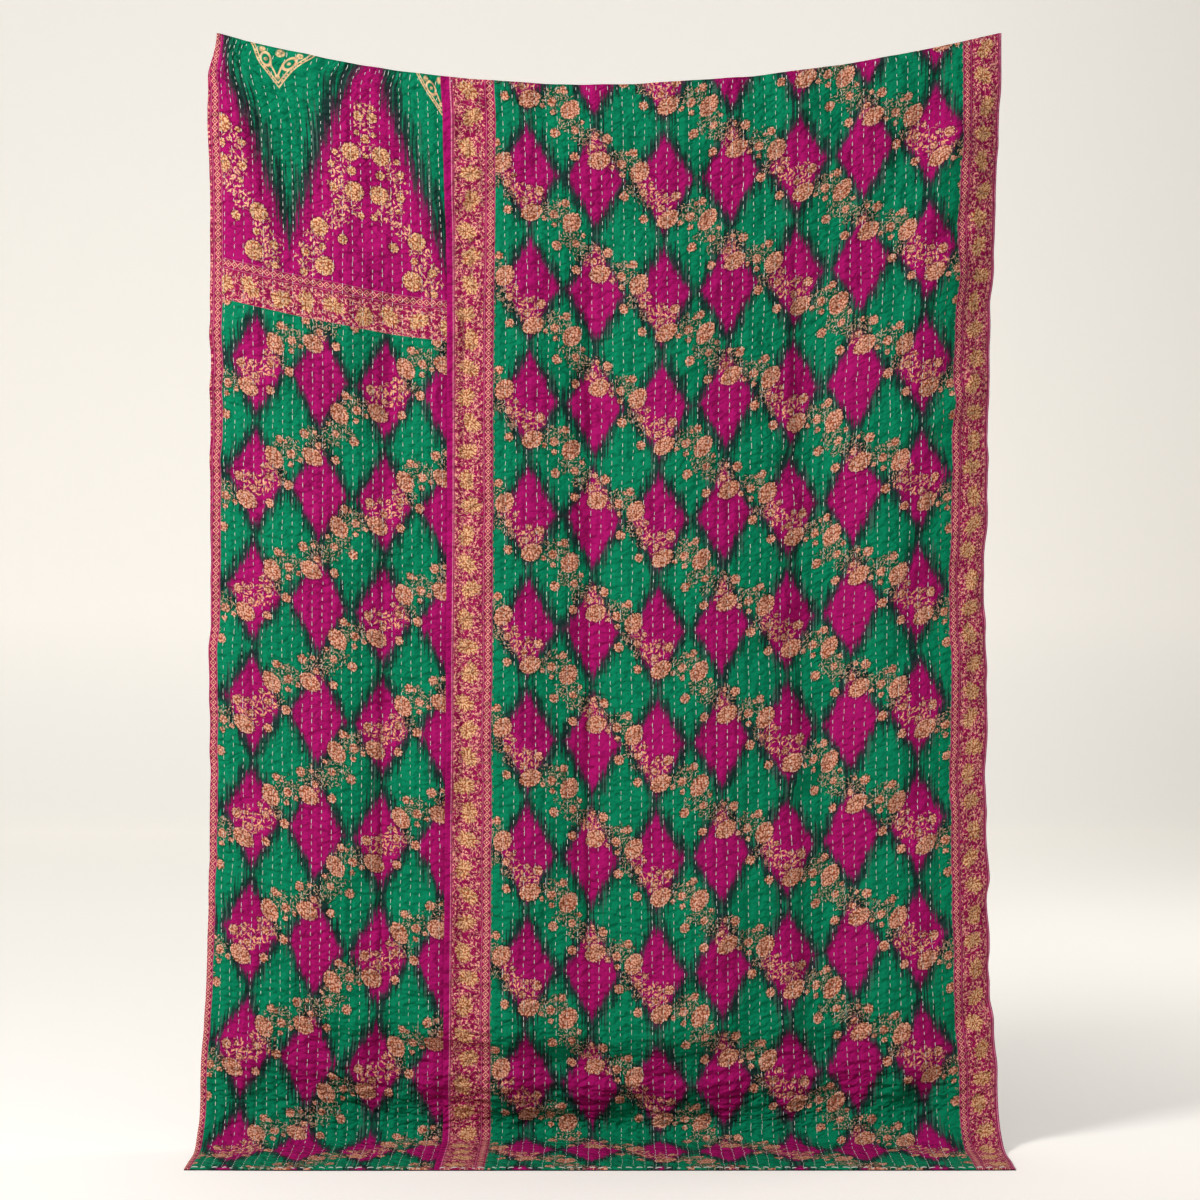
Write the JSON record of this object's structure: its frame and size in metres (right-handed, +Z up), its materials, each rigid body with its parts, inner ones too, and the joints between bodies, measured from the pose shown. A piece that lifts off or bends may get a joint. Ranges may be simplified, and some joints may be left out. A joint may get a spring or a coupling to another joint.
{
  "type": "kantha quilt",
  "caption": "Hanging patched and running-stitched cotton quilt, held at its two upper corners, with its foot lying forward on the floor.",
  "frame": {"origin": "middle of the quilt's upper edge, at the mount top_edge that what holds it up takes", "axes": "+Z up, -Y out of the printed face towards the viewer, +X to the viewer's right"},
  "size_m": [1.3771, 0.2369, 1.9145],
  "materials": {
    "left_print": "matt printed cotton, green and magenta ikat diamonds with tan flower trails",
    "right_print": "matt printed cotton, green and magenta ikat diamonds with tan flower trails and flower borders",
    "backing": "plain dark cotton with rows of pale running stitch"
  },
  "bodies": {
    "root": {"left_panel": "left_print", "right_panel": "right_print", "backing_cloth": "backing"}
  },
  "joints": []
}
